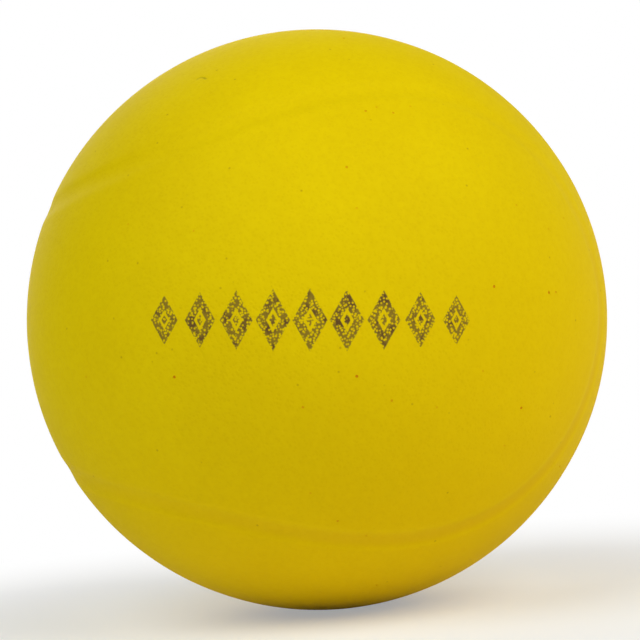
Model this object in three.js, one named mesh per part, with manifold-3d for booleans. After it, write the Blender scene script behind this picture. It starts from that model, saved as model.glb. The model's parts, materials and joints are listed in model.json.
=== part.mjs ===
// A soft play ball: one moulding of integral-skin foam, with a shallow seam pressed into it.
// Millimetres, origin at the ball's centre, +Z up, the ball's front towards -Y.
//
// The mould has two halves that close on the plane Y = 0. Each half is lined with a coat that
// becomes the skin, and the foam that rises between them becomes the core.

import * as THREE from 'three';
import { mergeVertices } from 'three/addons/utils/BufferGeometryUtils.js';
import Module from 'manifold-3d';

const wasm = await Module();
wasm.setup();

// Driving dimensions, in millimetres
const ball_diameter = 63;
const skin_thickness = 0.8;
const bond_gap = 0.3; // between the skin and the foam it is bonded to
const seam_width = 4;
const seam_depth = 0.18;
const gate_diameter = 6; // the hole in the rear skin where the foam was poured in
const cut_overrun = 4; // how far a cut runs past the faces it opens

// How the seam runs, in degrees on the ball: how far its ends reach from the middle plane, and
// how far its flanks lean over to make the neck between two ends
const seam_reach_degrees = 63.6;
const seam_lean_degrees = 20.1;

// Faces: steps along a quarter of the seam, across a panel, and round each bend
const outer_grid = { quarter: 30, across: 18 };
const inner_grid = { quarter: 20, across: 12 };
const steps_per_bend = 2;
const gate_sides = 32;

const finishes = {
  skin: { color: 0xdbc001, roughness: 0.62, metalness: 0 },
  foam: { color: 0xe6d68c, roughness: 0.9, metalness: 0 },
};

// Sizes worked out from the driving dimensions
const ball_radius = ball_diameter / 2;
const half_seam = seam_width / 2;
const seam_reach = THREE.MathUtils.degToRad(seam_reach_degrees);
const seam_lean = THREE.MathUtils.degToRad(seam_lean_degrees);
const core_inset = skin_thickness + bond_gap;

// The seam's wall goes down round a lip and comes level again round the floor. Both bends have
// one radius and turn through one angle, so that width and depth settle them.
const bend_angle = 2 * Math.atan(seam_depth / half_seam);
const bend_radius = half_seam / (2 * Math.sin(bend_angle));

// The gate's foam is trimmed flat, level with the rim of its hole.
const gate_radius = gate_diameter / 2;
const gate_face_y = Math.sqrt(ball_radius ** 2 - gate_radius ** 2);

// The direction from the ball's centre to the seam's centreline, at one turn share from 0 to 1.
// The seam goes once round the X axis while it swings twice towards each end of it.
function seam_direction(turn_share) {
  const turn = 2 * Math.PI * turn_share;
  const latitude = seam_reach * Math.cos(2 * turn);
  const longitude = turn + seam_lean * Math.sin(4 * turn);
  return new THREE.Vector3(
    -Math.sin(latitude),
    Math.cos(latitude) * Math.sin(longitude),
    Math.cos(latitude) * Math.cos(longitude),
  );
}

// The seam's section, from lip to lip: each point's place across the seam and its depth under
// the face
function seam_section() {
  const lip = [];
  const floor = [];
  for (let step = 0; step < steps_per_bend; step += 1) {
    const angle = bend_angle * step / steps_per_bend;
    lip.push([bend_radius * Math.sin(angle) - half_seam, bend_radius * (1 - Math.cos(angle))]);
  }
  for (let step = -steps_per_bend; step <= steps_per_bend; step += 1) {
    const angle = bend_angle * step / steps_per_bend;
    floor.push([bend_radius * Math.sin(angle), seam_depth - bend_radius * (1 - Math.cos(angle))]);
  }
  const far_lip = lip.map(([across, depth]) => [-across, depth]).reverse();
  return [...lip, ...floor, ...far_lip];
}

// One row of points across the seam, from the lip of the side panel to the lip of the front one,
// in a face that lies at the given inset under the ball's own
function seam_row(turn_share, inset) {
  const up = seam_direction(turn_share);
  const tiny_share = 1e-4;
  const along = seam_direction(turn_share + tiny_share).sub(seam_direction(turn_share - tiny_share));
  const across = new THREE.Vector3().crossVectors(up, along).normalize();
  return seam_section().map(([offset, depth]) => {
    const angle = offset / ball_radius;
    return new THREE.Vector3()
      .addScaledVector(up, Math.cos(angle))
      .addScaledVector(across, Math.sin(angle))
      .multiplyScalar(ball_radius - inset - depth);
  });
}

// A row of points along the great circle from one lip of a panel to the lip opposite
function panel_row(start, end, steps) {
  const axis = new THREE.Vector3().crossVectors(start, end).normalize();
  const row = [start];
  for (let step = 1; step < steps; step += 1) {
    row.push(start.clone().applyAxisAngle(axis, start.angleTo(end) * step / steps));
  }
  row.push(end);
  return row;
}

// Triangles between each row and the next. At a panel's two ends a row is a single point.
function lay_faces(rows, corners) {
  function face(...points) {
    const [a, b, c] = points;
    if (!a.equals(b) && !b.equals(c) && !c.equals(a)) {
      corners.push(...points);
    }
  }
  for (let row = 0; row + 1 < rows.length; row += 1) {
    for (let step = 0; step + 1 < rows[row].length; step += 1) {
      const [a, d] = [rows[row][step], rows[row][step + 1]];
      const [b, c] = [rows[row + 1][step], rows[row + 1][step + 1]];
      face(a, b, c);
      face(a, c, d);
    }
  }
}

// The ball's moulded face, or a face parallel to it, as one closed solid. The seam splits it
// into two equal panels shaped like a dog bone, each laid in rows from lip to opposite lip: the
// front panel mirrors in the plane Z = 0 and the side panel in the plane Y = 0.
function moulded_ball(inset, grid) {
  const quarter_turn = grid.quarter;
  const half_turn = quarter_turn * 2;
  const whole_turn = half_turn * 2;
  const seam = [];
  for (let step = 0; step < whole_turn; step += 1) {
    seam.push(seam_row(step / whole_turn, inset));
  }
  const seam_at = (step) => seam[(step + whole_turn) % whole_turn];
  const front_panel = [];
  const side_panel = [];
  for (let step = 0; step <= half_turn; step += 1) {
    const upper = step - quarter_turn;
    const front_lips = [seam_at(upper), seam_at(half_turn - upper)].map((row) => row.at(-1));
    const side_lips = [seam_at(-step), seam_at(step)].map((row) => row.at(0));
    front_panel.push(panel_row(...front_lips, grid.across));
    side_panel.push(panel_row(...side_lips, grid.across));
  }
  const corners = [];
  lay_faces([...seam, seam[0]], corners);
  lay_faces(front_panel, corners);
  lay_faces(side_panel, corners);
  return solid(new THREE.BufferGeometry().setFromPoints(corners));
}

// A closed mesh as a solid that can be cut and joined
function solid(geometry) {
  geometry.deleteAttribute('normal');
  geometry.deleteAttribute('uv');
  const merged = mergeVertices(geometry);
  return new wasm.Manifold(new wasm.Mesh({
    numProp: 3,
    vertProperties: new Float32Array(merged.attributes.position.array),
    triVerts: new Uint32Array(merged.index.array),
  }));
}

// A round bar along +Y, from one height to another
function gate_bar(radius, start_y, end_y) {
  const bar = new THREE.CylinderGeometry(radius, radius, end_y - start_y, gate_sides);
  bar.translate(0, (start_y + end_y) / 2, 0);
  return solid(bar);
}

// A block that holds one half of the ball: side is -1 for the front half and 1 for the rear
function mould_half(side) {
  const reach = ball_radius + cut_overrun;
  const block = new THREE.BoxGeometry(2 * reach, reach, 2 * reach);
  block.translate(0, side * reach / 2, 0);
  return solid(block);
}

function piece(name, shape, finish) {
  const { vertProperties, triVerts } = shape.getMesh();
  const geometry = new THREE.BufferGeometry();
  geometry.setAttribute('position', new THREE.BufferAttribute(new Float32Array(vertProperties), 3));
  geometry.setIndex(new THREE.BufferAttribute(new Uint32Array(triVerts), 1));
  const mesh = new THREE.Mesh(geometry, new THREE.MeshStandardMaterial(finish));
  mesh.name = name;
  return mesh;
}

// The skin: a thin even wall under the ball's face, open at the gate
const skin = moulded_ball(0, outer_grid).subtract(moulded_ball(skin_thickness, inner_grid));
const skin_bottom_y = ball_radius - skin_thickness - cut_overrun;
const gate_hole = gate_bar(gate_radius, skin_bottom_y, ball_radius + cut_overrun);
const front_skin = skin.intersect(mould_half(-1));
const rear_skin = skin.intersect(mould_half(1)).subtract(gate_hole);

// The core: foam that fills the skin, with the stub that rose in the gate and was cut flat
const stub_root_y = ball_radius - core_inset - cut_overrun;
const gate_stub = gate_bar(gate_radius - bond_gap, stub_root_y, gate_face_y);
const core = moulded_ball(core_inset, inner_grid).add(gate_stub);

const ball = new THREE.Group();
ball.add(
  piece('skin_half_front', front_skin, finishes.skin),
  piece('skin_half_rear', rear_skin, finishes.skin),
  piece('foam_core', core, finishes.foam),
);

export default ball;
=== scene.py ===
# %% [markdown]
# A soft play ball, dressed for its portrait.
#
# The solid model of the ball is loaded first and is never changed. Everything after it is
# skin deep: a finer surface with the seam, the pinholes and the parting line that a moulding
# shows, then the finish of that surface, the studio and the camera. Lengths are in metres,
# or in millimetres where a name ends in MM.

# %% Load the solid ball
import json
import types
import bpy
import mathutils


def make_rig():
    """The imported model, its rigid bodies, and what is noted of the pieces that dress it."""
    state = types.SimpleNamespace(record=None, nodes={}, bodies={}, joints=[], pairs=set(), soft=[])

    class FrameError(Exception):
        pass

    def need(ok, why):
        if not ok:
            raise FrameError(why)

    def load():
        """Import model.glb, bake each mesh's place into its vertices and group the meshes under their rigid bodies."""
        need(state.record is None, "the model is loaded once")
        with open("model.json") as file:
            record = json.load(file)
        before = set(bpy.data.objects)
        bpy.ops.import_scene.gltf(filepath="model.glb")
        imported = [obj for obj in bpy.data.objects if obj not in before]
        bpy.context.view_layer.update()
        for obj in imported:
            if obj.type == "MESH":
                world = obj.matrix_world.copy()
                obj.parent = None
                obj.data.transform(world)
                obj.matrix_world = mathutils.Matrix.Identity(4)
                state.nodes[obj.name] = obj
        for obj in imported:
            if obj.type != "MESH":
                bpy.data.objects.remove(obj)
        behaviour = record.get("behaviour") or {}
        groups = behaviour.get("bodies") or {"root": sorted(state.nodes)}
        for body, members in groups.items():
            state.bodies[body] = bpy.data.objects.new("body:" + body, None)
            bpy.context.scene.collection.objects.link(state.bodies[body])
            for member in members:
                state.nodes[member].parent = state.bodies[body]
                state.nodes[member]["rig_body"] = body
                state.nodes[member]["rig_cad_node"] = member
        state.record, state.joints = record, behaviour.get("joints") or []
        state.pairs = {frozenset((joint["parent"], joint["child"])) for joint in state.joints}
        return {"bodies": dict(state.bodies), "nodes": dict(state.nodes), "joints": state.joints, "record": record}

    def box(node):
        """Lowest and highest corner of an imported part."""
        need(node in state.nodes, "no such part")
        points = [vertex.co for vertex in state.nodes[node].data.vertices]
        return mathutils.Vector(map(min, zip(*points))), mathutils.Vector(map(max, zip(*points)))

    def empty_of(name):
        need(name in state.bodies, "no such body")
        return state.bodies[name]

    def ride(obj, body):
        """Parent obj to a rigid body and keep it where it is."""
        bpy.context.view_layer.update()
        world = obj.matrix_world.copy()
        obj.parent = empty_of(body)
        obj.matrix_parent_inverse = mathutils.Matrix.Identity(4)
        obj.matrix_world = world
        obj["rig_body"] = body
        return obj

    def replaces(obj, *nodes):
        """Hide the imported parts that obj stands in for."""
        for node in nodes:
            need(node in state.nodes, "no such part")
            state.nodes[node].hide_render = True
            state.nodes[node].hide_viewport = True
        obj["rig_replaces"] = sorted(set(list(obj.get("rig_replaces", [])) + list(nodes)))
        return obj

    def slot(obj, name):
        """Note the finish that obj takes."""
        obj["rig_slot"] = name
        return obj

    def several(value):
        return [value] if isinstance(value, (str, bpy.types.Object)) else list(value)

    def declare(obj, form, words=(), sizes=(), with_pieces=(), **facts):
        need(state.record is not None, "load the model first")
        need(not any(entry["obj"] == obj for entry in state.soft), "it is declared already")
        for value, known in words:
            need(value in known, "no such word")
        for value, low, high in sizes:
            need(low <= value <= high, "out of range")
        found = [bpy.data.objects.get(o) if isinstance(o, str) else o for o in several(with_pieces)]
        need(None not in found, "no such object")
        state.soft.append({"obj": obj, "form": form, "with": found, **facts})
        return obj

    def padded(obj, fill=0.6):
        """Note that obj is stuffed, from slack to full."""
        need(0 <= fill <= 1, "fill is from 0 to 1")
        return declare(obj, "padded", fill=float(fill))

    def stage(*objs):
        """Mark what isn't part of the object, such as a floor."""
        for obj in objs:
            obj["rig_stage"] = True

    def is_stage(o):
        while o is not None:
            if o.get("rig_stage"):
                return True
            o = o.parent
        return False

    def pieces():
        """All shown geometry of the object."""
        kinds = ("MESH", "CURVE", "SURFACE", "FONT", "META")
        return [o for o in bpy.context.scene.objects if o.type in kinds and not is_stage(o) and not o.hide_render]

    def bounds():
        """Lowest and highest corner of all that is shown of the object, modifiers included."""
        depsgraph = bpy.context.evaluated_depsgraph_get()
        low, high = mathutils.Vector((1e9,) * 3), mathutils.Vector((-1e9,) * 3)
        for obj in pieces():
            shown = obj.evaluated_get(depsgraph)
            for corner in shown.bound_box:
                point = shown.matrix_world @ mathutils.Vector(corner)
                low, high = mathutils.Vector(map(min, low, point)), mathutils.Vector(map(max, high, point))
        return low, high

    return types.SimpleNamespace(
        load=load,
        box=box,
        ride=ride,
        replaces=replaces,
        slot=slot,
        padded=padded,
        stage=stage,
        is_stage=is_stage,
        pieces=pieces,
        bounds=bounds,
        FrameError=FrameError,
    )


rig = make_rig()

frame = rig.load()

import json
import math
import random

import bpy
import numpy as np
from mathutils import Euler, Vector
from mathutils.geometry import intersect_line_sphere
from mathutils.kdtree import KDTree

cad_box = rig.bounds()
MM = 0.001
low_corner, high_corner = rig.box("skin_half_front")
BALL_RADIUS = (high_corner.x - low_corner.x) / 2
print("ball radius in mm:", round(BALL_RADIUS / MM, 2))

# %% [markdown]
# The camera comes first, because the marks on the ball are placed through it. The photograph
# was taken from about eight ball radii away, level with the ball, a little to the left of its
# front and with the camera leaning clockwise. A long lens gives the same view: the outline of
# the ball lies 290 pixels from its middle.

# %% The camera, where the photographer stood
CAMERA_DISTANCE = 8 * BALL_RADIUS
CAMERA_AZIMUTH = math.radians(-8.0)
CAMERA_ELEVATION = math.radians(0.3)
CAMERA_ROLL = math.radians(-4.5)
FRAME_PIXELS = 640
BALL_CENTRE_PIXELS = (317.0, 319.6)
BALL_RADIUS_PIXELS = 290.3
SENSOR_WIDTH_MM = 36
CLIP_START = BALL_RADIUS / 10

lens_pixels = BALL_RADIUS_PIXELS * math.sqrt((CAMERA_DISTANCE / BALL_RADIUS) ** 2 - 1)
camera_turn = Euler((math.pi / 2 - CAMERA_ELEVATION, 0, CAMERA_AZIMUTH)).to_matrix()
camera_turn = camera_turn @ Euler((0, 0, CAMERA_ROLL)).to_matrix()
camera_right, camera_up, camera_back = camera_turn.col
metres_per_pixel = CAMERA_DISTANCE / lens_pixels
camera_place = (
    camera_back * CAMERA_DISTANCE
    + camera_right * (FRAME_PIXELS / 2 - BALL_CENTRE_PIXELS[0]) * metres_per_pixel
    - camera_up * (FRAME_PIXELS / 2 - BALL_CENTRE_PIXELS[1]) * metres_per_pixel
)

bpy.ops.object.select_all(action="DESELECT")
bpy.ops.object.camera_add(location=camera_place, rotation=camera_turn.to_euler())
camera = bpy.context.object
camera.data.sensor_width = SENSOR_WIDTH_MM
camera.data.lens = lens_pixels * SENSOR_WIDTH_MM / FRAME_PIXELS
camera.data.clip_start = CLIP_START
bpy.context.scene.camera = camera
print("lens in mm:", round(camera.data.lens, 1))


# %% [markdown]
# A point seen in the photograph lies on a line from the camera through its pixel. The mark sits
# where that line first meets the ball.

# %% From a pixel to a place on the ball
def place_on_ball(pixel):
    across = (pixel[0] - FRAME_PIXELS / 2) * metres_per_pixel
    up = (FRAME_PIXELS / 2 - pixel[1]) * metres_per_pixel
    reach = camera_right * across + camera_up * up - camera_back * CAMERA_DISTANCE
    hits = intersect_line_sphere(
        camera_place, camera_place + 2 * reach, Vector(), BALL_RADIUS, False
    )
    return min((hit for hit in hits if hit), key=lambda hit: (hit - camera_place).length)


view_middle = (FRAME_PIXELS / 2, FRAME_PIXELS / 2)
print("the middle of the view meets the ball at", place_on_ball(view_middle))

# %% [markdown]
# The seam is a ridge of the mould, so the ball comes out with a groove. It could be carved with a
# swept tube and a boolean, but a boolean leaves ragged triangles along so shallow a dip. Here
# the ball is a very fine even mesh instead. A vertex group says how far into the seam each
# vertex lies, and a Displace modifier pushes the group inwards.

# %% The line that the seam follows
SEAM_WIDTH = 4.0 * MM
SEAM_DEPTH = 0.12 * MM
SEAM_REACH = math.radians(63.6)
SEAM_LEAN = math.radians(20.1)
SEAM_SAMPLES = 4000


def seam_point(turn):
    """The seam goes once round the X axis while it swings twice towards each end of it."""
    latitude = SEAM_REACH * math.cos(2 * turn)
    longitude = turn + SEAM_LEAN * math.sin(4 * turn)
    return BALL_RADIUS * Vector((
        -math.sin(latitude),
        math.cos(latitude) * math.sin(longitude),
        math.cos(latitude) * math.cos(longitude),
    ))


seam_tree = KDTree(SEAM_SAMPLES)
for sample in range(SEAM_SAMPLES):
    seam_tree.insert(seam_point(2 * math.pi * sample / SEAM_SAMPLES), sample)
seam_tree.balance()
front_middle = Vector((0, -BALL_RADIUS, 0))
print("from the front's middle to the seam, in mm:", seam_tree.find(front_middle)[2] / MM)


# %% A ball with the seam pressed into it
OUTER_FINENESS = 8


def take_up(piece, mode):
    """Makes a piece the only selected one and enters the wanted mode."""
    if bpy.context.mode != "OBJECT":
        bpy.ops.object.mode_set(mode="OBJECT")
    bpy.ops.object.select_all(action="DESELECT")
    bpy.context.view_layer.objects.active = piece
    piece.select_set(True)
    bpy.ops.object.mode_set(mode=mode)


def push(piece, strength, middle, group="", texture=None):
    """Moves a piece's faces along their normals, as a vertex group or a texture says."""
    take_up(piece, "OBJECT")
    modifier = piece.modifiers.new("push", "DISPLACE")
    modifier.strength = strength
    modifier.mid_level = middle
    modifier.vertex_group = group
    modifier.texture = texture
    bpy.ops.object.modifier_apply(modifier=modifier.name)


def seam_section(distance):
    """How deep the groove is, from 0 at its lips to 1 at its middle. The wall is two arcs: one
    rolls down over the lip, and the other comes level again in the floor."""
    nearness = max(0, 1 - distance / (SEAM_WIDTH / 2))
    return 2 * nearness ** 2 if nearness < 0.5 else 1 - 2 * (1 - nearness) ** 2


def moulded_ball(name, radius, fineness):
    """The poles of this sphere are turned to the Y axis: then a row of edges runs exactly along
    the plane where the two halves of the mould meet."""
    bpy.ops.object.select_all(action="DESELECT")
    bpy.ops.mesh.primitive_ico_sphere_add(
        subdivisions=fineness, radius=radius, rotation=(math.pi / 2, 0, 0)
    )
    ball = bpy.context.object
    ball.name = name
    bpy.ops.object.transform_apply(location=False, rotation=True, scale=False)
    group = ball.vertex_groups.new(name="seam")
    depths = []
    for vertex in ball.data.vertices:
        depth = seam_section(seam_tree.find(vertex.co.normalized() * BALL_RADIUS)[2])
        group.add([vertex.index], depth, "REPLACE")
        depths.append(depth)
    in_seam = ball.data.attributes.new("in_seam", "FLOAT", "POINT")
    in_seam.data.foreach_set("value", depths)
    push(ball, -SEAM_DEPTH, 0, group="seam")
    print(name, "has", len(ball.data.polygons), "faces")
    return ball


outer_face = moulded_ball("outer_face", BALL_RADIUS, OUTER_FINENESS)

# %% [markdown]
# A foam ball shrinks a little unevenly as it cures, so its face is never as true as a turned
# one. A second Displace with a cloud texture gives it dents a few hundredths of a millimetre
# deep. They are too shallow to see as dents, but they make the light on the ball less perfect.

# %% Faint unevenness of cured foam
DENT_SIZE = 9 * MM
DENT_DEPTH = 0.05 * MM

dents = bpy.data.textures.new("cured_foam", "CLOUDS")
dents.noise_scale = DENT_SIZE
push(outer_face, DENT_DEPTH, 0.5, texture=dents)


# %% [markdown]
# Bubbles that burst against the mould leave pinholes. Each starts as one vertex: a vertex bevel
# opens it into a small six-sided face, and that face is pushed in along its normal. The bottom
# of each pinhole is marked here and browned by the finish: painted shade, orange as light bounced
# round a yellow hollow is. The pinholes on the front are where the photograph shows them, and the rest are scattered
# over the back.

# %% Select by place
def select_only(piece, kind, wanted):
    """Enters edit mode with only the wanted vertices, edges or faces selected."""
    take_up(piece, "EDIT")
    bpy.ops.mesh.select_mode(type=kind)
    bpy.ops.mesh.select_all(action="DESELECT")
    bpy.ops.object.mode_set(mode="OBJECT")
    elements = {"VERT": piece.data.vertices, "EDGE": piece.data.edges, "FACE": piece.data.polygons}
    elements[kind].foreach_set("select", np.asarray(wanted, dtype=bool))
    bpy.ops.object.mode_set(mode="EDIT")


# %% The pinholes
LARGE_PINHOLES = ((344, 38), (494, 286), (356, 376), (549, 291), (175, 377), (521, 409))
MEDIUM_PINHOLES = (
    (366, 112), (346, 166), (555, 292), (339, 522), (393, 113), (392, 400),
    (378, 585), (560, 466), (302, 407),
)
SMALL_PINHOLES = (
    (411, 106), (357, 207), (549, 228), (86, 378), (365, 536), (515, 204), (564, 219),
    (128, 225), (436, 407), (484, 372), (311, 492), (376, 107), (193, 230), (505, 446),
)
# Each size gives its places, radius, depth and share of painted shade at the bottom.
PINHOLE_SIZES = (
    (LARGE_PINHOLES, 0.17 * MM, 0.07 * MM, 1.0),
    (MEDIUM_PINHOLES, 0.15 * MM, 0.05 * MM, 0.6),
    (SMALL_PINHOLES, 0.13 * MM, 0.03 * MM, 0.35),
)
UNSEEN_PINHOLES = 16
SCATTER_SEED = 63
OUT_OF_SIGHT = 0.1
CLEAR_OF_PARTING = 0.05
CLEAR_OF_GATE = 0.98
scatter = random.Random(SCATTER_SEED)


def unseen_places(count):
    """Random places out of the photograph's sight, clear of the parting line and the gate."""
    places = []
    while len(places) < count:
        place = Vector([scatter.gauss(0, 1) for _ in range(3)]).normalized()
        is_unseen = place.dot(camera_back) < OUT_OF_SIGHT
        if is_unseen and abs(place.y) > CLEAR_OF_PARTING and place.y < CLEAR_OF_GATE:
            places.append(place * BALL_RADIUS)
    return places


def sink_pinholes(ball, places, radius, depth, shade_share):
    vertex_tree = KDTree(len(ball.data.vertices))
    for vertex in ball.data.vertices:
        vertex_tree.insert(vertex.co, vertex.index)
    vertex_tree.balance()
    wanted = np.zeros(len(ball.data.vertices), dtype=bool)
    for place in places:
        wanted[vertex_tree.find(place)[1]] = True
    select_only(ball, "VERT", wanted)
    bpy.ops.mesh.bevel(offset=radius, affect="VERTICES", segments=1)
    bpy.ops.mesh.select_mode(type="FACE")
    bpy.ops.mesh.extrude_region_shrink_fatten(
        TRANSFORM_OT_shrink_fatten={"value": -depth}
    )
    bpy.ops.object.mode_set(mode="OBJECT")
    # The sunk bottoms are marked for painted shade.
    bottoms = np.empty(len(ball.data.vertices), dtype=bool)
    ball.data.vertices.foreach_get("select", bottoms)
    shade_marks = np.empty(len(bottoms), dtype=np.float32)
    ball.data.attributes["pinhole_shade"].data.foreach_get("value", shade_marks)
    shade_marks[bottoms] = shade_share
    ball.data.attributes["pinhole_shade"].data.foreach_set("value", shade_marks)


# This attribute carries the painted shade of the pinholes' bottoms.
outer_face.data.attributes.new("pinhole_shade", "FLOAT", "POINT")
for pixels, pinhole_radius, pinhole_depth, shade_share in PINHOLE_SIZES:
    pinhole_places = [place_on_ball(pixel) for pixel in pixels] + unseen_places(UNSEEN_PINHOLES)
    sink_pinholes(outer_face, pinhole_places, pinhole_radius, pinhole_depth, shade_share)
print("with pinholes the ball has", len(outer_face.data.polygons), "faces")

# %% [markdown]
# The skin is made in two halves, as the mould makes it: a coat lines each half of the mould, and
# the foam that rises between them joins them. Each half starts as the outer face on its side
# and an inner face of coarser mesh that nobody sees. Their rims are bridged, so that each half
# is one closed shell, as a real coat of paint and foam is.

# %% The two halves of the skin
SKIN_THICKNESS = 0.8 * MM
INNER_FINENESS = 6

inner_face = moulded_ball("inner_face", BALL_RADIUS - SKIN_THICKNESS, INNER_FINENESS)


def centres(elements, field):
    values = np.empty(3 * len(elements))
    elements.foreach_get(field, values)
    return values.reshape(-1, 3)


def copy_of_half(face, side):
    """A copy of a whole ball's face, cut down to the half on that side of the Y axis."""
    take_up(face, "OBJECT")
    bpy.ops.object.duplicate()
    half = bpy.context.object
    select_only(half, "FACE", side * centres(half.data.polygons, "center")[:, 1] < 0)
    bpy.ops.mesh.delete(type="FACE")
    bpy.ops.object.mode_set(mode="OBJECT")
    return half


def select_open_rim(piece, near_gate=False):
    """Selects the edges that close no surface: round the gate, or else at the parting plane."""
    take_up(piece, "EDIT")
    bpy.ops.mesh.select_mode(type="EDGE")
    bpy.ops.mesh.select_all(action="DESELECT")
    bpy.ops.mesh.select_non_manifold()
    bpy.ops.object.mode_set(mode="OBJECT")
    is_open = np.empty(len(piece.data.edges), dtype=bool)
    piece.data.edges.foreach_get("select", is_open)
    ends = np.empty(2 * len(piece.data.edges), dtype=int)
    piece.data.edges.foreach_get("vertices", ends)
    height = centres(piece.data.vertices, "co")[ends.reshape(-1, 2)[:, 0], 1]
    is_gate = height > BALL_RADIUS / 2
    select_only(piece, "EDGE", is_open & (is_gate if near_gate else ~is_gate))


halves = {}
for side, name in ((-1, "front_skin"), (1, "rear_skin")):
    outer = copy_of_half(outer_face, side)
    outer.name = name
    inner = copy_of_half(inner_face, side)
    take_up(inner, "EDIT")
    bpy.ops.mesh.select_all(action="SELECT")
    bpy.ops.mesh.flip_normals()
    bpy.ops.object.mode_set(mode="OBJECT")
    halves[name] = (outer, inner)
    print(name, "starts with", len(outer.data.polygons), "outer faces")

# %% [markdown]
# Where the halves meet, the mould leaves a hairline. The rim of each outer face is moved a few
# hundredths of a millimetre away from the parting plane and then turned in by an extrude, so
# that light falls into a real gap there and no line has to be painted.

# %% The hairline at the parting plane
PARTING_GAP = 0.07 * MM
PARTING_LINE_DEPTH = 0.12 * MM

for side, name in ((-1, "front_skin"), (1, "rear_skin")):
    outer = halves[name][0]
    select_open_rim(outer)
    bpy.ops.transform.translate(value=(0, side * PARTING_GAP / 2, 0))
    bpy.ops.mesh.extrude_edges_move()
    draw_in = 1 - PARTING_LINE_DEPTH / BALL_RADIUS
    bpy.ops.transform.resize(value=(draw_in, 1, draw_in), center_override=(0, 0, 0))
    bpy.ops.object.mode_set(mode="OBJECT")

# %% [markdown]
# The foam is poured through the gate, a round hole at the middle of the rear half. In both faces
# the hole starts as deleted triangles, which leave a ragged edge. To Sphere pulls that edge
# into a true circle, and short extrudes roll it over into the rounded lip of a cut in soft skin.

# %% The gate in the rear half
GATE_RADIUS = 3.0 * MM
GATE_LIP = 0.14 * MM
LIP_STEPS = 4


def open_gate(face, gate_radius):
    middles = centres(face.data.polygons, "center")
    from_axis = np.hypot(middles[:, 0], middles[:, 2])
    select_only(face, "FACE", (from_axis < gate_radius) & (middles[:, 1] > 0))
    bpy.ops.mesh.delete(type="FACE")
    select_open_rim(face, near_gate=True)
    bpy.ops.transform.tosphere(value=1)
    bpy.ops.object.mode_set(mode="OBJECT")
    corners = centres(face.data.vertices, "co")
    picked = np.empty(len(corners), dtype=bool)
    face.data.vertices.foreach_get("select", picked)
    rim_radius = np.hypot(corners[picked, 0], corners[picked, 2]).mean()
    bpy.ops.object.mode_set(mode="EDIT")
    grow = gate_radius / rim_radius
    bpy.ops.transform.resize(value=(grow, 1, grow), center_override=(0, 0, 0))
    return picked.sum()


rear_outer, rear_inner = halves["rear_skin"]
print("corners round the gate outside:", open_gate(rear_outer, GATE_RADIUS + GATE_LIP))
for step in range(LIP_STEPS):
    start_angle = math.pi / 2 * step / LIP_STEPS
    end_angle = math.pi / 2 * (step + 1) / LIP_STEPS
    start_radius = GATE_RADIUS + GATE_LIP * (1 - math.sin(start_angle))
    end_radius = GATE_RADIUS + GATE_LIP * (1 - math.sin(end_angle))
    drop = GATE_LIP * (math.cos(start_angle) - math.cos(end_angle))
    shrink = end_radius / start_radius
    bpy.ops.mesh.extrude_edges_move(TRANSFORM_OT_translate={"value": (0, -drop, 0)})
    bpy.ops.transform.resize(value=(shrink, 1, shrink), center_override=(0, 0, 0))
bpy.ops.object.mode_set(mode="OBJECT")
print("corners round the gate inside:", open_gate(rear_inner, GATE_RADIUS))
bpy.ops.object.mode_set(mode="OBJECT")


# %% [markdown]
# On the real ball the paint, the dense foam under it and the rim of the gate are one coat. So the
# outer and inner face of each half are joined, and bridges close the rims between them.

# %% Close each half
def close_shell(outer, inner, has_gate):
    take_up(outer, "OBJECT")
    inner.select_set(True)
    bpy.ops.object.join()
    select_open_rim(outer)
    bpy.ops.mesh.bridge_edge_loops()
    if has_gate:
        select_open_rim(outer, near_gate=True)
        bpy.ops.mesh.bridge_edge_loops()
    bpy.ops.mesh.select_all(action="DESELECT")
    bpy.ops.mesh.select_non_manifold()
    bpy.ops.object.mode_set(mode="OBJECT")
    print(outer.name, "has", len(outer.data.polygons), "faces and", outer.data.total_edge_sel,
          "open edges")
    return outer


front_skin = close_shell(*halves["front_skin"], has_gate=False)
rear_skin = close_shell(*halves["rear_skin"], has_gate=True)

# %% [markdown]
# The core is the foam itself. It is seen only in the gate, where a stub of it was cut flush with
# a knife. The stub is a disc: insets give it rings to work with, a Displace roughens them into
# torn cells, and an extruded collar carries the disc down to the round body of the core.

# %% The foam core
CORE_INSET = 1.1 * MM
STUB_RADIUS = 2.86 * MM
STUB_CORNERS = 96
STUB_RINGS = 13
CELL_SIZE = 0.5 * MM
CELL_DEPTH = 0.22 * MM
ROUGH_SHARE = 0.97

core = moulded_ball("core", BALL_RADIUS - CORE_INSET, INNER_FINENESS)
print("corners round the core's opening:", open_gate(core, STUB_RADIUS))
bpy.ops.object.mode_set(mode="OBJECT")

gate_height = math.sqrt(BALL_RADIUS ** 2 - GATE_RADIUS ** 2)
bpy.ops.object.select_all(action="DESELECT")
bpy.ops.mesh.primitive_circle_add(
    vertices=STUB_CORNERS, radius=STUB_RADIUS, fill_type="NGON",
    location=(0, gate_height - CELL_DEPTH / 2, 0), rotation=(-math.pi / 2, 0, 0),
)
stub = bpy.context.object
stub.name = "stub"
bpy.ops.object.transform_apply(location=True, rotation=True, scale=False)
take_up(stub, "EDIT")
bpy.ops.mesh.select_all(action="SELECT")
for ring in range(STUB_RINGS):
    bpy.ops.mesh.inset(thickness=STUB_RADIUS / (STUB_RINGS + 1))
bpy.ops.mesh.poke()
bpy.ops.object.mode_set(mode="OBJECT")
cut_face = stub.vertex_groups.new(name="cut_face")
cut_corners = centres(stub.data.vertices, "co")
inside = np.hypot(cut_corners[:, 0], cut_corners[:, 2]) < STUB_RADIUS * ROUGH_SHARE
cut_face.add([int(index) for index in np.flatnonzero(inside)], 1.0, "REPLACE")
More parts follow.
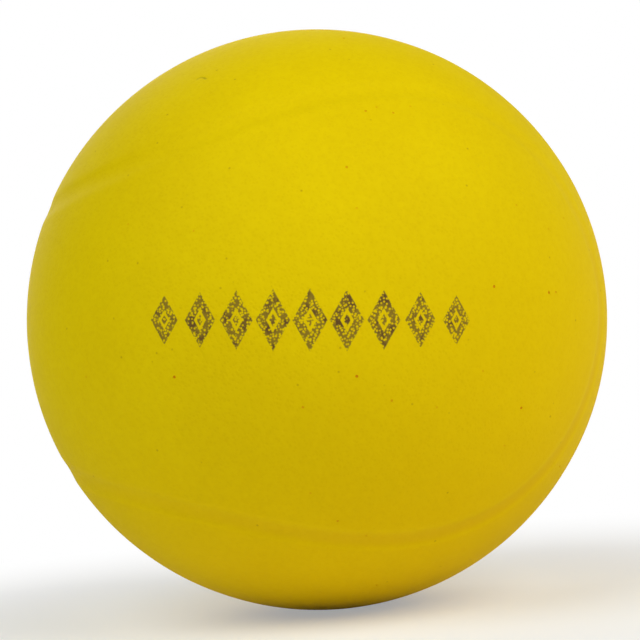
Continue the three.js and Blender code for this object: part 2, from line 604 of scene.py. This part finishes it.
cells = bpy.data.textures.new("foam_cells", "CLOUDS")
cells.noise_scale = CELL_SIZE
push(stub, CELL_DEPTH, 0.5, group="cut_face", texture=cells)

take_up(stub, "EDIT")
bpy.ops.mesh.select_mode(type="EDGE")
bpy.ops.mesh.select_all(action="DESELECT")
bpy.ops.mesh.select_non_manifold()
bpy.ops.mesh.extrude_edges_move(TRANSFORM_OT_translate={"value": (0, -CORE_INSET / 2, 0)})
bpy.ops.object.mode_set(mode="OBJECT")
core = close_shell(core, stub, has_gate=True)
core.name = "foam_body"

# %% [markdown]
# The whole faces that the halves were copied from have no part in the ball, so they go. What is
# left is told which solid of the model it stands for. The pieces are soft, and the foam fills
# them.

# %% Clear away the construction faces
bpy.ops.object.select_all(action="DESELECT")
for construction in (outer_face, inner_face):
    construction.select_set(True)
bpy.ops.object.delete()

# %% Give each piece its place in the model
PIECES = (
    (front_skin, "skin_half_front", "skin"),
    (rear_skin, "skin_half_rear", "skin"),
    (core, "foam_core", "foam"),
)
SMOOTH_ANGLE = math.radians(35)

for piece, node, slot in PIECES:
    take_up(piece, "OBJECT")
    bpy.ops.object.shade_smooth_by_angle(angle=SMOOTH_ANGLE)
    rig.replaces(piece, node)
    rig.ride(piece, "root")
    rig.slot(piece, slot)
    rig.padded(piece, fill=1.0)
    print(piece.name, "stands for", node)


# %% [markdown]
# A finish is a network of nodes. Written by hand in Python such a network is long and hard to
# read, so a small class wraps a node's output: sums and products of wrapped outputs then add
# their Math nodes by themselves. Every other node is made by one method.

# %% Nodes written as sums
# The Mix node keeps its two colours and its mixed colour in sockets with these numbers.
MIX_FIRST = 6
MIX_SECOND = 7
MIX_RESULT = 2


class Signal:
    def __init__(self, finish, socket):
        self.finish = finish
        self.socket = socket

    def calculate(self, operation, *values):
        sockets = dict(enumerate(values))
        return self.finish.node("Math", {"operation": operation}, sockets)

    def __add__(self, other):
        return self.calculate("ADD", self, other)

    def __radd__(self, other):
        return self.calculate("ADD", other, self)

    def __sub__(self, other):
        return self.calculate("SUBTRACT", self, other)

    def __rsub__(self, other):
        return self.calculate("SUBTRACT", other, self)

    def __mul__(self, other):
        return self.calculate("MULTIPLY", self, other)

    def __rmul__(self, other):
        return self.calculate("MULTIPLY", other, self)

    def __truediv__(self, other):
        return self.calculate("DIVIDE", self, other)

    def __rtruediv__(self, other):
        return self.calculate("DIVIDE", other, self)

    def __abs__(self):
        return self.calculate("ABSOLUTE", self)

    def __round__(self):
        return self.calculate("ROUND", self)


class Finish:
    def __init__(self, owner):
        owner.use_nodes = True
        self.tree = owner.node_tree
        self.tree.nodes.clear()

    def node(self, kind, settings, sockets, output=0):
        node = self.tree.nodes.new("ShaderNode" + kind)
        for setting, value in settings.items():
            setattr(node, setting, value)
        for name, value in sockets.items():
            if isinstance(value, Signal):
                self.tree.links.new(value.socket, node.inputs[name])
            else:
                node.inputs[name].default_value = value
        return Signal(self, node.outputs[output]) if len(node.outputs) else None

    def rise(self, value, start, end):
        """Goes smoothly from 0 to 1 while the value goes from start to end."""
        sockets = {"Value": value, "From Min": start, "From Max": end}
        return self.node("MapRange", {"interpolation_type": "SMOOTHSTEP"}, sockets)

    def blend(self, factor, first, second):
        """A mix of two colours."""
        sockets = {"Factor": factor, MIX_FIRST: first, MIX_SECOND: second}
        return self.node("Mix", {"data_type": "RGBA"}, sockets, MIX_RESULT)

    def along(self, place, direction):
        """How far a place lies along a direction, in millimetres."""
        sockets = {0: place, 1: tuple(direction)}
        return self.node("VectorMath", {"operation": "DOT_PRODUCT"}, sockets, "Value") * (1 / MM)

    def noise(self, place, size, detail=2.0):
        sockets = {"Vector": place, "Scale": 1 / size, "Detail": detail}
        return self.node("TexNoise", {}, sockets)

    def cells(self, place, size):
        """How far a place is from the middle of its cell, as a share of the cells' spacing."""
        return self.node("TexVoronoi", {}, {"Vector": place, "Scale": 1 / size}, "Distance")


# %% [markdown]
# The skin is painted-through yellow, quite matt, and full of open pores of a quarter of a
# millimetre. Cells of a Voronoi texture are the pores: they sink the surface through the bump,
# and painted shade darkens them a touch. Two noises vary the tone, one as wide as a finger and
# one as fine as a grain of salt.

# %% The skin's colour and pores
YELLOW = (0.79, 0.605, 0.001, 1)
DEEP_YELLOW = (0.74, 0.545, 0.001, 1)
PORE_SPACING = 0.40 * MM
PORE_EDGE = (0.2, 0.5)
PORE_DEPTH_MM = 0.012
BROAD_TONE_SIZE = 11 * MM
BROAD_TONE_DETAIL = 3.0
FINE_TONE_SIZE = 0.7 * MM
TONE_RANGE = (0.3, 0.7)
BROAD_TONE_SHARE = 0.4
FINE_TONE_SHARE = 0.3
PORE_SHADE_SHARE = 0.3

skin_material = bpy.data.materials.new("skin")
skin = Finish(skin_material)
place = skin.node("TexCoord", {}, {}, "Object")

pore_distance = skin.cells(place, PORE_SPACING)
pore = 1 - skin.rise(pore_distance, *PORE_EDGE)
broad_tone = skin.noise(place, BROAD_TONE_SIZE, detail=BROAD_TONE_DETAIL)
fine_tone = skin.noise(place, FINE_TONE_SIZE)
# The noises vary the tone at random; the pores' share is painted shade in the pores.
tone_and_pore_shade = (
    skin.rise(broad_tone, *TONE_RANGE) * BROAD_TONE_SHARE
    + skin.rise(fine_tone, *TONE_RANGE) * FINE_TONE_SHARE
    + pore * PORE_SHADE_SHARE
)
print("skin nodes for the tone:", len(skin.tree.nodes))

# %% [markdown]
# The yellow is painted warmer towards the lower right: painted warm light. On the seam, the lips in
# the lower half get a painted highlight, a purer and lighter yellow, and the floor gets painted
# shade, darker and more orange, which grows towards the lower right. Every point of the mesh knows
# how deep in the seam it lies, so these colours follow the groove.

# %% The painted warm light, and the seam's painted highlight and shade
PAINTED_WARM_YELLOW = (0.86, 0.53, 0.001, 1)
LIP_HIGHLIGHT_YELLOW = (0.84, 0.62, 0.001, 1)
SEAM_SHADE_ORANGE = (0.74, 0.45, 0.010, 1)
LIP_STARTS = (0, 0.2)
LIP_ENDS = (0.1, 0.5)
LIP_HIGHLIGHT_SHARE = 0.35
SEAM_SHADE_STARTS = (0.35, 1)
SEAM_SHADE_SHARE = 0.38
LOW_DOWN_MM = (-22, 15)
PAINTED_WARM_DIRECTION = (0.45, 0, -0.9)
PAINTED_WARM_RANGE_MM = (-8, 30)
PAINTED_WARM_SHARE = 0.45

in_seam = skin.node("Attribute", {"attribute_name": "in_seam"}, {}, "Fac")
low_down = skin.rise(skin.along(place, (0, 0, -1)), *LOW_DOWN_MM)
# Painted highlight on the seam's lips, in the lower half of the ball.
painted_lip_highlight = skin.rise(in_seam, *LIP_STARTS) * (1 - skin.rise(in_seam, *LIP_ENDS)) * low_down
colour = skin.blend(tone_and_pore_shade, YELLOW, DEEP_YELLOW)
painted_warm_light = skin.rise(skin.along(place, PAINTED_WARM_DIRECTION), *PAINTED_WARM_RANGE_MM)
# Painted warm light: the yellow turns warmer towards the lower right.
colour = skin.blend(painted_warm_light * PAINTED_WARM_SHARE, colour, PAINTED_WARM_YELLOW)
colour = skin.blend(painted_lip_highlight * LIP_HIGHLIGHT_SHARE, colour, LIP_HIGHLIGHT_YELLOW)
# Painted shade in the seam's floor: darker and more orange, growing towards the lower right.
painted_seam_shade = skin.rise(in_seam, *SEAM_SHADE_STARTS)
colour = skin.blend(painted_seam_shade * painted_warm_light * SEAM_SHADE_SHARE, colour, SEAM_SHADE_ORANGE)
print("skin nodes with the seam's colours:", len(skin.tree.nodes))

# %% [markdown]
# Small brown dots are where a bubble lies just under the face. The bottoms of the open pinholes
# were marked when the pinholes were sunk, and there the finish paints shade, dark orange.

# %% Specks and painted shade in the pinholes
SPECK_BROWN = (0.42, 0.22, 0.006, 1)
PINHOLE_SHADE_BROWN = (0.70, 0.27, 0.004, 1)
SPECK_SPACING = 2.6 * MM
SPECK_EDGE = (0.02, 0.07)
SPECK_SHARE = 0.5

speck_distance = skin.cells(place, SPECK_SPACING)
speck = 1 - skin.rise(speck_distance, *SPECK_EDGE)
colour = skin.blend(speck * SPECK_SHARE, colour, SPECK_BROWN)
pinhole_shade = skin.node("Attribute", {"attribute_name": "pinhole_shade"}, {}, "Fac")
# Painted shade in the pinholes' bottoms, dark orange.
colour = skin.blend(pinhole_shade, colour, PINHOLE_SHADE_BROWN)
print("skin nodes with the specks:", len(skin.tree.nodes))

# %% [markdown]
# The front of the ball carries a print, pressed on by a soft pad. It is a plain row of lozenges,
# one inside another, that grow smaller towards both ends. It is drawn flat, as the pad prints it:
# one number says how far along the row a place is and another how far above it. Rounding the
# first gives the lozenge that the place belongs to.

# %% The printed ornament
ORNAMENT_PIXELS = (310, 320)
LOZENGE_PITCH_MM = 3.55
LOZENGE_HALF_HEIGHT_MM = 3.0
LOZENGE_SLENDERNESS = 0.56
LOZENGES_EACH_WAY = 4
ROW_ENDS = (LOZENGES_EACH_WAY + 0.4, LOZENGES_EACH_WAY + 0.6)
TAPER_LOZENGES = 9
OUTLINE_INSIDE = (0.36, 0.44)
OUTLINE_OUTSIDE = (0.95, 1.05)
HEART_EDGE = (0.17, 0.25)
FRONT_FACE_MM = (0, 1)

ornament_centre = place_on_ball(ORNAMENT_PIXELS)
run = skin.along(place, camera_right) - ornament_centre.dot(camera_right) / MM
climb = skin.along(place, camera_up) - ornament_centre.dot(camera_up) / MM
facing = skin.along(place, camera_back)
rank = round(run / LOZENGE_PITCH_MM)
offset = abs(run - rank * LOZENGE_PITCH_MM)
half_height = (1 - rank * rank / TAPER_LOZENGES ** 2) * LOZENGE_HALF_HEIGHT_MM
ring = (offset / LOZENGE_SLENDERNESS + abs(climb)) / half_height
outline = skin.rise(ring, *OUTLINE_INSIDE) * (1 - skin.rise(ring, *OUTLINE_OUTSIDE))
heart = 1 - skin.rise(ring, *HEART_EDGE)
in_row = 1 - skin.rise(abs(rank), *ROW_ENDS)
shape = (outline + heart) * in_row * skin.rise(facing, *FRONT_FACE_MM)
print("skin nodes with the lozenges:", len(skin.tree.nodes))

# %% [markdown]
# On porous foam the ink reaches only the rims between the finest pores, so the print is a brown
# net round bare dots, denser where the pad pressed harder.

# %% The ink between the pores
INK = (0.11, 0.056, 0.024, 1)
FINE_PORE_SPACING = 0.27 * MM
PRESSURE_SIZE = 1.1 * MM
PRESSURE_IN_NET = 0.3
NET_EDGE = (0.38, 0.76)
HARD_PRESSED = (0.5, 0.7)
LEAST_INK = 0.77
PRESSED_INK = 0.2

pressed = skin.noise(place, PRESSURE_SIZE)
fine_pore_distance = skin.cells(place, FINE_PORE_SPACING)
net = skin.rise(fine_pore_distance + pressed * PRESSURE_IN_NET, *NET_EDGE)
ink = shape * net * (LEAST_INK + skin.rise(pressed, *HARD_PRESSED) * PRESSED_INK)
colour = skin.blend(ink, colour, INK)
print("skin nodes with the ornament:", len(skin.tree.nodes))

# %% [markdown]
# High on the left the skin has a nick, a crescent a millimetre long, as a fingernail or the
# mould's edge leaves. It's a piece of a ring: how far a place is from the nick's middle says
# whether it lies on the ring, and how far above it says whether it lies in the ring's top. The
# nick gets deeper and wider towards its right-hand end.

# %% The nick
NICK_PIXELS = (200.7, 82.2)
NICK_RADIUS_MM = 0.55
NICK_TOP_MM = (NICK_RADIUS_MM * 0.4, NICK_RADIUS_MM * 0.7)
NICK_HALF_WIDTH_MM = 0.19
NICK_DEEPENS_MM = (-0.4, 0.4)
NICK_WIDENS_MM = (0.2, 0.45)
LEAST_NICK_DEPTH = 0.5
LEAST_NICK_WIDTH = 0.9
NICK_WIDTH_GAIN = 0.6
NICK_SHADE_SHARE = 0.6
NICK_DEPTH_MM = 0.05
NICK_SHADE_OLIVE = (0.34, 0.27, 0.004, 1)

nick_centre = place_on_ball(NICK_PIXELS)
nick_run = skin.along(place, camera_right) - nick_centre.dot(camera_right) / MM
nick_climb = skin.along(place, camera_up) - nick_centre.dot(camera_up) / MM
squared = nick_run * nick_run + nick_climb * nick_climb
from_nick = skin.node("Math", {"operation": "SQRT"}, {0: squared})
off_ring = abs(from_nick - NICK_RADIUS_MM)
top = skin.rise(nick_climb, *NICK_TOP_MM) * skin.rise(facing, *FRONT_FACE_MM)
depth = LEAST_NICK_DEPTH + skin.rise(nick_run, *NICK_DEEPENS_MM) * (1 - LEAST_NICK_DEPTH)
widening = skin.rise(nick_run, *NICK_WIDENS_MM) * NICK_WIDTH_GAIN
half_width = NICK_HALF_WIDTH_MM * (LEAST_NICK_WIDTH + widening)
nick_dent_and_shade = (1 - skin.rise(off_ring / half_width, 0, 1)) * top * depth
# The nick is painted darker, olive: painted shade in the dent, more where it is deeper.
colour = skin.blend(nick_dent_and_shade * NICK_SHADE_SHARE, colour, NICK_SHADE_OLIVE)
print("skin nodes with the nick:", len(skin.tree.nodes))

# %% [markdown]
# The bump is given in millimetres: the pores sink by about an eightieth, and a grain finer than
# the pores breaks up what little shine there is. The mesh alone gives the seam the depth that its
# notches in the ball's outline have. Its walls catch more light than that, so the bump deepens
# it, except in its end on the right, where it is fainter.

# %% The skin's surface
SEAM_RELIEF_MM = 0.15
RIGHT_END_MM = (8, 20)
GRAIN_SIZE = 0.16 * MM
GRAIN_DEPTH_MM = 0.0035
SWELL_SIZE = 1.3 * MM
SWELL_DEPTH_MM = 0.010
LEAST_ROUGHNESS = 0.60
ROUGHNESS_RANGE = 0.12
SKIN_SHINE = 0.025

grain = skin.noise(place, GRAIN_SIZE)
swell = skin.noise(place, SWELL_SIZE)
relief = grain * GRAIN_DEPTH_MM + swell * SWELL_DEPTH_MM - pore * PORE_DEPTH_MM
right_end = skin.rise(skin.along(place, (1, 0, 0)), *RIGHT_END_MM)
seam_relief = in_seam * (1 - right_end) * SEAM_RELIEF_MM
height = relief - seam_relief - nick_dent_and_shade * NICK_DEPTH_MM
bump = skin.node("Bump", {}, {"Height": height, "Distance": MM, "Strength": 1.0})
roughness = LEAST_ROUGHNESS + fine_tone * ROUGHNESS_RANGE
surface = skin.node("BsdfPrincipled", {}, {
    "Base Color": colour,
    "Roughness": roughness,
    "Specular IOR Level": SKIN_SHINE,
    "Normal": bump,
})
skin.node("OutputMaterial", {}, {"Surface": surface})
for piece in (front_skin, rear_skin):
    piece.data.materials.clear()
    piece.data.materials.append(skin_material)

# %% [markdown]
# Cut foam is paler than the skin, because the knife opens its cells and their walls scatter the
# light. Each cell is a small bowl with a pale rim, and painted shade darkens its hollow.

# %% The cut foam
FOAM_PALE = (0.80, 0.68, 0.26, 1)
FOAM_SHADE_DEEP = (0.42, 0.30, 0.05, 1)
BOWL_SPACING = 0.42 * MM
SMALL_BOWL_SPACING = 0.17 * MM
BOWL_EDGE = (0.2, 0.6)
BOWL_SHARE = 0.7
SMALL_BOWL_SHARE = 0.3
BOWL_HEIGHT_MM = -0.12
LEAST_FOAM_ROUGHNESS = 0.85
FOAM_ROUGHNESS_RANGE = 0.1
FOAM_ROUGHNESS_SIZE = 0.5 * MM
FOAM_SHINE = 0.2

foam_material = bpy.data.materials.new("foam")
foam = Finish(foam_material)
place = foam.node("TexCoord", {}, {}, "Object")
bowl = 1 - foam.rise(foam.cells(place, BOWL_SPACING), *BOWL_EDGE)
small_bowl = 1 - foam.rise(foam.cells(place, SMALL_BOWL_SPACING), *BOWL_EDGE)
hollow_and_painted_shade = bowl * BOWL_SHARE + small_bowl * SMALL_BOWL_SHARE
# Painted shade darkens the cells' hollows; the same mask sinks them through the bump.
colour = foam.blend(hollow_and_painted_shade, FOAM_PALE, FOAM_SHADE_DEEP)
foam_height = hollow_and_painted_shade * BOWL_HEIGHT_MM
bump = foam.node("Bump", {}, {"Height": foam_height, "Distance": MM, "Strength": 1.0})
foam_tone = foam.noise(place, FOAM_ROUGHNESS_SIZE)
surface = foam.node("BsdfPrincipled", {}, {
    "Base Color": colour,
    "Roughness": LEAST_FOAM_ROUGHNESS + foam_tone * FOAM_ROUGHNESS_RANGE,
    "Specular IOR Level": FOAM_SHINE,
    "Normal": bump,
})
foam.node("OutputMaterial", {}, {"Surface": surface})
core.data.materials.clear()
core.data.materials.append(foam_material)
print("foam nodes:", len(foam.tree.nodes))

# %% [markdown]
# The ball lies on a plain white floor. Near the ball the camera sees the floor as it is lit,
# with the ball's soft shadow. Further off the floor fades into the white of the backdrop,
# which is plain white only for the camera and for reflections.

# %% The floor
FLOOR_RADIUS = 1.5
FLOOR_CORNERS = 96
FLOOR_WHITE = (0.92, 0.92, 0.92, 1)
FADE_START_MM = 5
FADE_END_MM = 65
NEAR_WHITENESS = 0.35

bpy.ops.object.select_all(action="DESELECT")
bpy.ops.mesh.primitive_circle_add(
    vertices=FLOOR_CORNERS, radius=FLOOR_RADIUS, fill_type="NGON", location=(0, 0, low_corner.z)
)
floor = bpy.context.object
floor.name = "floor"
bpy.ops.object.transform_apply(location=True, rotation=False, scale=False)
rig.stage(floor)


def seen_directly(finish):
    """1 for what the camera sees, also in a mirror or through glass, and 0 for lighting."""
    kinds = ("Is Camera Ray", "Is Glossy Ray", "Is Transmission Ray")
    camera_ray, glossy_ray, through_ray = [finish.node("LightPath", {}, {}, kind) for kind in kinds]
    either = finish.node("Math", {"operation": "MAXIMUM"}, {0: camera_ray, 1: glossy_ray})
    return finish.node("Math", {"operation": "MAXIMUM"}, {0: either, 1: through_ray})


floor_material = bpy.data.materials.new("floor")
ground = Finish(floor_material)
place = ground.node("TexCoord", {}, {}, "Object")
from_ball = ground.node("VectorMath", {"operation": "LENGTH"}, {0: place}, "Value") * (1 / MM)
radius_mm = BALL_RADIUS / MM
faded = ground.rise(from_ball, radius_mm + FADE_START_MM, radius_mm + FADE_END_MM)
whiteness = NEAR_WHITENESS + faded * (1 - NEAR_WHITENESS)
matt_white = ground.node("BsdfDiffuse", {}, {"Color": FLOOR_WHITE})
plain_white = ground.node("Emission", {}, {"Color": (1, 1, 1, 1), "Strength": 1.0})
surface = ground.node("MixShader", {}, {
    0: seen_directly(ground) * whiteness, 1: matt_white, 2: plain_white,
})
ground.node("OutputMaterial", {}, {"Surface": surface})
floor.data.materials.append(floor_material)
print("floor nodes:", len(ground.tree.nodes))

# %% [markdown]
# The light is soft and comes from above: one large lamp to the right of the camera and a weaker
# one to the left. The right-hand light is slightly warm and the left-hand light slightly cool,
# which turns the ball from a greenish yellow at the upper left to an orange one at the lower
# right. Together they light a surface that faces them at about its written colour. Two fill
# lamps stand behind the ball, and the camera doesn't see the lamps themselves. They light its
# back for the other views. The right one also reaches round the edge, so that both walls of the
# seam are lit alike there and the seam's end hardly shows.

# %% The studio light
LAMP_DISTANCE = 0.7
LAMP_SIZE = 0.6
AMBIENT = 0.01
WARM = (1.0, 0.95, 0.85)
COOL = (0.97, 1.0, 1.0)
LAMPS = (
    ("main_lamp", (0.6, 0.7, 0.5), WARM, 3.35),
    ("second_lamp", (-0.6, 0.7, 0.5), COOL, 2.7),
    ("right_fill", (1, 0.2, -0.8), WARM, 0.75),
    ("left_fill", (-0.4, 0.35, -1), COOL, 1.8),
)

world = bpy.data.worlds.new("studio")
bpy.context.scene.world = world
sky = Finish(world)
strength = AMBIENT + seen_directly(sky) * (1 - AMBIENT)
background = sky.node("Background", {}, {"Color": (1, 1, 1, 1), "Strength": strength})
sky.node("OutputWorld", {}, {"Surface": background})

for name, (rightwards, upwards, forwards), tint, power in LAMPS:
    direction = camera_right * rightwards + camera_up * upwards + camera_back * forwards
    direction.normalize()
    bpy.ops.object.light_add(type="AREA", location=direction * LAMP_DISTANCE)
    lamp = bpy.context.object
    lamp.name = name
    lamp.rotation_euler = direction.to_track_quat("Z", "Y").to_euler()
    lamp.data.shape = "DISK"
    lamp.data.size = LAMP_SIZE
    lamp.data.color = tint
    lamp.data.energy = power
    lamp.visible_camera = False
    print(name, "stands at", [round(axis, 2) for axis in lamp.location])

# %% Set the view transform, and write down both sizes
bpy.context.scene.view_settings.view_transform = "Standard"
visual_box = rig.bounds()
with open("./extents.json", "w") as size_file:
    json.dump({"cad": [list(c) for c in cad_box], "visual": [list(c) for c in visual_box]}, size_file)
print("visual box in mm:", [[round(axis / MM, 2) for axis in corner] for corner in visual_box])
